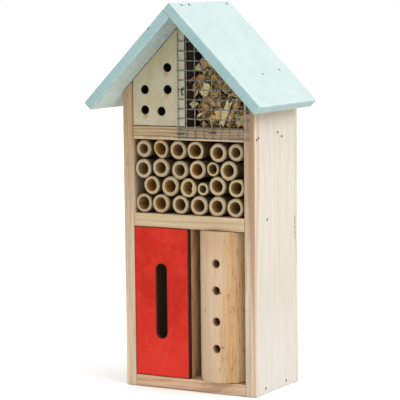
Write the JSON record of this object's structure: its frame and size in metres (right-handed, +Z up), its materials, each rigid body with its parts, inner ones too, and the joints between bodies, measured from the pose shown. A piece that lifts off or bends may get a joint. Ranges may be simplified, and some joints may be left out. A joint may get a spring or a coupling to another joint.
{
  "type": "insect hotel",
  "caption": "Small wooden insect hotel with a pitched roof: a plywood chamber with round entrances, shavings behind wire mesh, bamboo tubes, a slotted chamber and a drilled log.",
  "frame": {"origin": "on the ground, at the middle of the overall box", "axes": "+Z up, +Y from the front to the back, +X to the right as seen from the front"},
  "size_m": [0.133, 0.0878, 0.26],
  "materials": {
    "softwood": "sawn and lightly sanded, untreated",
    "natural_plywood": "smooth laser-cut plywood, edges charred",
    "red_plywood": "matt red paint, edges charred",
    "roof_paint": "matt pale turquoise paint on wood",
    "log_wood": "peeled round log, sanded",
    "bamboo": "cut bamboo cane, satin skin",
    "shavings": "curled wood shavings",
    "galvanised_wire": "dull galvanised",
    "staple_steel": "dull zinc",
    "nail_steel": "dark, slightly rusty",
    "hanger_steel": "bright zinc plating"
  },
  "bodies": {
    "root": {"left_side": "softwood", "right_side": "softwood", "bottom_board": "softwood", "middle_shelf": "softwood", "upper_shelf": "softwood", "back_panel": "natural_plywood", "attic_divider": "natural_plywood", "lower_divider": "natural_plywood", "ladybird_front": "natural_plywood", "butterfly_front": "red_plywood", "left_roof_board": "roof_paint", "right_roof_board": "roof_paint", "log_block": "log_wood", "bamboo_tube_01": "bamboo", "bamboo_tube_02": "bamboo", "bamboo_tube_03": "bamboo", "bamboo_tube_04": "bamboo", "bamboo_tube_05": "bamboo", "bamboo_tube_06": "bamboo", "bamboo_tube_07": "bamboo", "bamboo_tube_08": "bamboo", "bamboo_tube_09": "bamboo", "bamboo_tube_10": "bamboo", "bamboo_tube_11": "bamboo", "bamboo_tube_12": "bamboo", "bamboo_tube_13": "bamboo", "bamboo_tube_14": "bamboo", "bamboo_tube_15": "bamboo", "bamboo_tube_16": "bamboo", "bamboo_tube_17": "bamboo", "bamboo_tube_18": "bamboo", "bamboo_tube_19": "bamboo", "bamboo_tube_20": "bamboo", "bamboo_tube_21": "bamboo", "bamboo_tube_22": "bamboo", "bamboo_tube_23": "bamboo", "bamboo_tube_24": "bamboo", "wood_shavings": "shavings", "wire_mesh": "galvanised_wire", "mesh_staples": "staple_steel", "roof_nails": "nail_steel", "left_side_nails": "nail_steel", "right_side_nails": "nail_steel", "back_panel_nails": "nail_steel", "hanger": "hanger_steel", "hanger_screws": "hanger_steel"}
  },
  "joints": []
}
